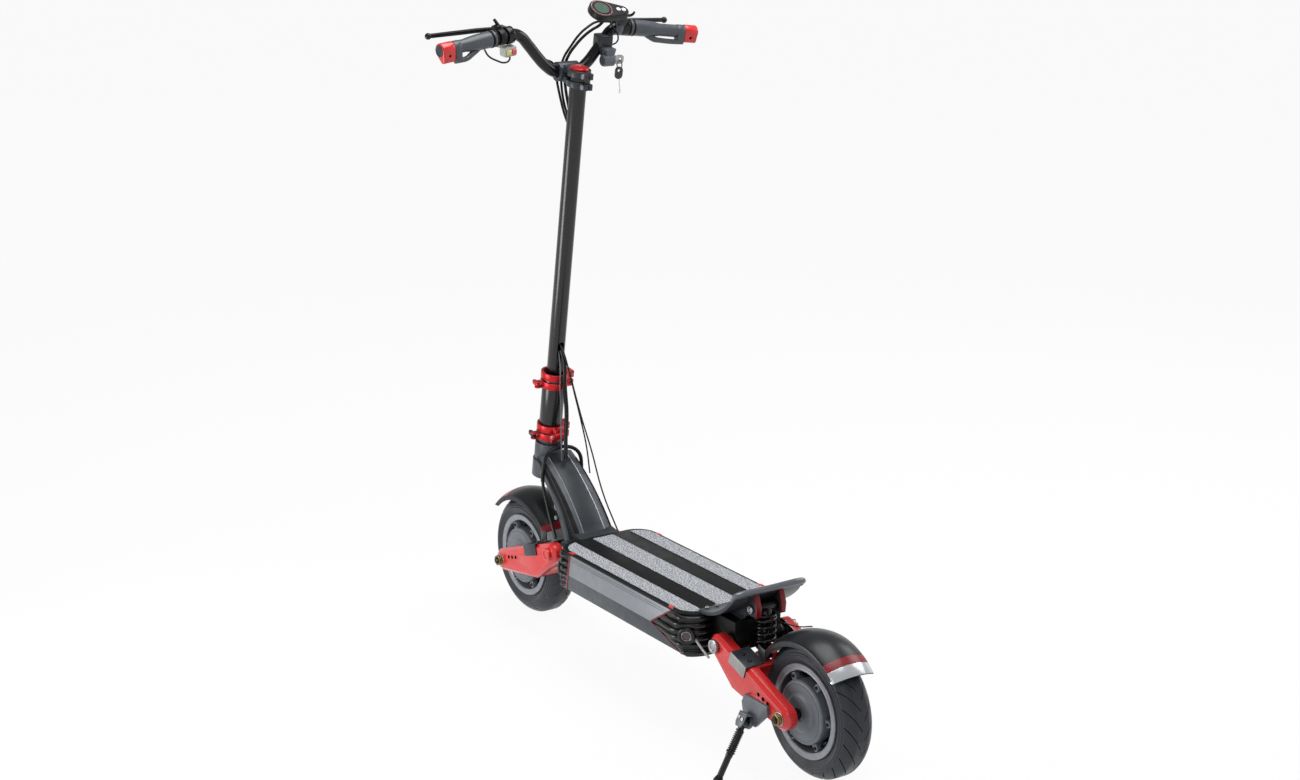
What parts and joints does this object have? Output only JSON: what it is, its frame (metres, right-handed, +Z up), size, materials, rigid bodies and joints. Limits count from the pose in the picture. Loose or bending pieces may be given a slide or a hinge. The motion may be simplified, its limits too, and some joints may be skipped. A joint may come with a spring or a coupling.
{
  "type": "electric kick scooter",
  "caption": "Folding electric kick scooter with sprung swing arms, hub motor wheels, a wide deck, a tall stem and a riser handlebar with brake levers, display and throttle.",
  "frame": {"origin": "on the ground, midway between the two wheel axles, in the middle plane", "axes": "+X forward to the front wheel, +Y to the rider's left, +Z up"},
  "size_m": [1.235, 0.5872, 1.313],
  "materials": {
    "deck_grey": "satin grey paint",
    "deck_black": "matt black grip surface",
    "grip_tape": "speckled grey grip tape",
    "black_plastic": "moulded black",
    "red_trim": "red moulding",
    "battery_wrap": "shrink wrap",
    "bare_aluminium": "machined",
    "lamp_lens": "clear lens",
    "frame_grey": "dark grey powder coat",
    "frame_black": "satin black powder coat",
    "frame_red": "red anodised",
    "steel": "bright zinc",
    "spring_black": "black enamel",
    "grip_rubber": "grey rubber",
    "cable_black": "cable sheath",
    "tyre_rubber": "black rubber",
    "screen": "display window",
    "white_button": "white key",
    "yellow_button": "yellow key",
    "fob_black": "moulded tag"
  },
  "bodies": {
    "chassis": {"deck_tray": "deck_grey", "deck_top_plate": "deck_black", "deck_grip_strips": "grip_tape", "deck_end_caps": "black_plastic", "deck_piping": "red_trim", "battery_pack": "battery_wrap", "motor_controllers": "bare_aluminium", "deck_lamps": "lamp_lens", "neck_frame": "frame_grey", "headset_bearings": "steel", "rear_pivot_block": "frame_black", "kick_plate": "frame_black", "chassis_bolts": "steel"},
    "fork": {"fork_frame": "frame_grey", "fold_ring_lower": "frame_red", "fork_pins": "steel"},
    "stem": {"stem_rings": "frame_red", "stem_sleeve": "frame_black", "stem_tube": "frame_black", "bar_clamp": "frame_black", "stem_cap": "frame_red", "handlebar": "frame_black", "grips": "grip_rubber", "grip_end_caps": "red_trim", "brake_perches": "black_plastic", "switch_pod": "black_plastic", "display_housing": "black_plastic", "display_glass": "screen", "key_switch": "black_plastic", "stem_bolts": "steel", "handlebar_cables": "cable_black", "stem_cables": "cable_black"},
    "front_arm": {"front_swing_arm": "frame_red", "front_axle": "steel", "front_mudguard": "black_plastic"},
    "front_wheel": {"front_tyre": "tyre_rubber", "front_hub_motor": "bare_aluminium"},
    "rear_arm": {"rear_swing_arm": "frame_red", "rear_axle": "steel", "rear_mudguard": "black_plastic"},
    "rear_wheel": {"rear_tyre": "tyre_rubber", "rear_hub_motor": "bare_aluminium"},
    "front_shock_upper": {"front_shock_body": "frame_black", "front_spring": "spring_black"},
    "front_shock_lower": {"front_shock_rod": "steel"},
    "rear_shock_upper": {"rear_shock_body": "frame_black", "rear_spring": "spring_black"},
    "rear_shock_lower": {"rear_shock_rod": "steel"},
    "stand": {"kickstand_leg": "frame_black"},
    "left_lever": {"left_brake_lever": "frame_black"},
    "right_lever": {"right_brake_lever": "frame_black"},
    "throttle": {"throttle_lever": "black_plastic"},
    "mode_key": {"mode_button": "white_button"},
    "power_key": {"power_button": "red_trim"},
    "yellow_key": {"yellow_button": "yellow_button"},
    "red_key": {"red_button": "red_trim"},
    "key": {"ignition_key": "steel"},
    "fob": {"key_fob": "fob_black"},
    "fold_catch": {"fold_lever": "frame_black"},
    "collar_catch": {"collar_lever": "frame_black"}
  },
  "joints": [
    {"name": "steering", "type": "hinge", "parent": "chassis", "child": "fork", "pos_m": [0.4956, 0, 0], "axis": [-0.1606, 0, 0.987], "range_deg": [-35, 35], "deforming": ["stem_cables"]},
    {"name": "stem_fold", "type": "hinge", "parent": "fork", "child": "stem", "pos_m": [0.39215, 0, 0.41173], "axis": [0, -1, 0], "range_deg": [0, 88], "deforming": ["stem_cables"]},
    {"name": "front_suspension", "type": "hinge", "parent": "fork", "child": "front_arm", "pos_m": [0.294, 0, 0.199], "axis": [0, -1, 0], "range_deg": [0, 8], "stiffness_Nm_per_rad": 700, "springref_deg": -6.88, "deforming": ["front_spring"]},
    {"name": "front_wheel_spin", "type": "hinge", "parent": "front_arm", "child": "front_wheel", "pos_m": [0.49, 0, 0.1275], "axis": [0, 1, 0], "continuous": true},
    {"name": "rear_suspension", "type": "hinge", "parent": "chassis", "child": "rear_arm", "pos_m": [-0.294, 0, 0.199], "axis": [0, 1, 0], "range_deg": [0, 8], "stiffness_Nm_per_rad": 700, "springref_deg": -6.88, "deforming": ["rear_spring"]},
    {"name": "rear_wheel_spin", "type": "hinge", "parent": "rear_arm", "child": "rear_wheel", "pos_m": [-0.49, 0, 0.1275], "axis": [0, 1, 0], "continuous": true},
    {"name": "front_shock_top", "type": "hinge", "parent": "fork", "child": "front_shock_upper", "pos_m": [0.36999, 0, 0.26646], "axis": [0, -1, 0], "range_deg": [-20, 20]},
    {"name": "front_shock_foot", "type": "hinge", "parent": "front_arm", "child": "front_shock_lower", "pos_m": [0.33, 0, 0.175], "axis": [0, -1, 0], "range_deg": [-20, 20]},
    {"name": "rear_shock_top", "type": "hinge", "parent": "chassis", "child": "rear_shock_upper", "pos_m": [-0.33, 0, 0.27], "axis": [0, 1, 0], "range_deg": [-20, 20]},
    {"name": "rear_shock_foot", "type": "hinge", "parent": "rear_arm", "child": "rear_shock_lower", "pos_m": [-0.33, 0, 0.175], "axis": [0, 1, 0], "range_deg": [-20, 20]},
    {"name": "kickstand_swing", "type": "hinge", "parent": "rear_arm", "child": "stand", "pos_m": [-0.413, 0.106, 0.098], "axis": [0, 0.8746, 0.4848], "range_deg": [0, 90]},
    {"name": "left_brake_squeeze", "type": "hinge", "parent": "stem", "child": "left_lever", "pos_m": [0.38025, 0.14238, 1.25823], "axis": [-0.172, 0.0968, 0.9803], "range_deg": [0, 20], "stiffness_Nm_per_rad": 2, "springref_deg": -8.59},
    {"name": "right_brake_squeeze", "type": "hinge", "parent": "stem", "child": "right_lever", "pos_m": [0.38047, -0.1404, 1.25846], "axis": [0.172, 0.0968, -0.9803], "range_deg": [0, 20], "stiffness_Nm_per_rad": 2, "springref_deg": -8.59},
    {"name": "throttle_pull", "type": "hinge", "parent": "stem", "child": "throttle", "pos_m": [0.3257, -0.11994, 1.29048], "axis": [0.5838, 0.0317, -0.8113], "range_deg": [0, 25], "stiffness_Nm_per_rad": 0.3, "springref_deg": -11.46},
    {"name": "mode_press", "type": "slide", "parent": "stem", "child": "mode_key", "axis": [0.5838, 0.0317, -0.8113], "range_m": [0, 0.0012], "stiffness_N_per_m": 400},
    {"name": "power_press", "type": "slide", "parent": "stem", "child": "power_key", "axis": [0.5838, 0.0317, -0.8113], "range_m": [0, 0.0012], "stiffness_N_per_m": 400},
    {"name": "yellow_press", "type": "slide", "parent": "stem", "child": "yellow_key", "axis": [0.9791, 0.1262, 0.1593], "range_m": [0, 0.0025], "stiffness_N_per_m": 400},
    {"name": "red_press", "type": "slide", "parent": "stem", "child": "red_key", "axis": [0.9791, 0.1262, 0.1593], "range_m": [0, 0.0025], "stiffness_N_per_m": 400},
    {"name": "key_turn", "type": "hinge", "parent": "stem", "child": "key", "pos_m": [0.32628, -0.093, 1.19026], "axis": [0, 1, 0], "range_deg": [0, 45]},
    {"name": "fob_swing", "type": "hinge", "parent": "key", "child": "fob", "pos_m": [0.32628, -0.109, 1.19026], "axis": [0.987, 0, 0.1606], "range_deg": [-20, 20]},
    {"name": "fold_lever_swing", "type": "hinge", "parent": "fork", "child": "fold_catch", "pos_m": [0.43307, 0.037, 0.40927], "axis": [-0.1606, 0, 0.987], "range_deg": [0, 100]},
    {"name": "collar_lever_swing", "type": "hinge", "parent": "stem", "child": "collar_catch", "pos_m": [0.41445, 0.037, 0.52377], "axis": [-0.1606, 0, 0.987], "range_deg": [0, 100]}
  ],
  "couplings": [
    {"joint": "front_shock_top", "follows": "front_suspension", "ratio": 0.048764},
    {"joint": "front_shock_foot", "follows": "front_suspension", "ratio": -0.95124},
    {"joint": "rear_shock_top", "follows": "rear_suspension", "ratio": 0.23848},
    {"joint": "rear_shock_foot", "follows": "rear_suspension", "ratio": -0.76152}
  ]
}
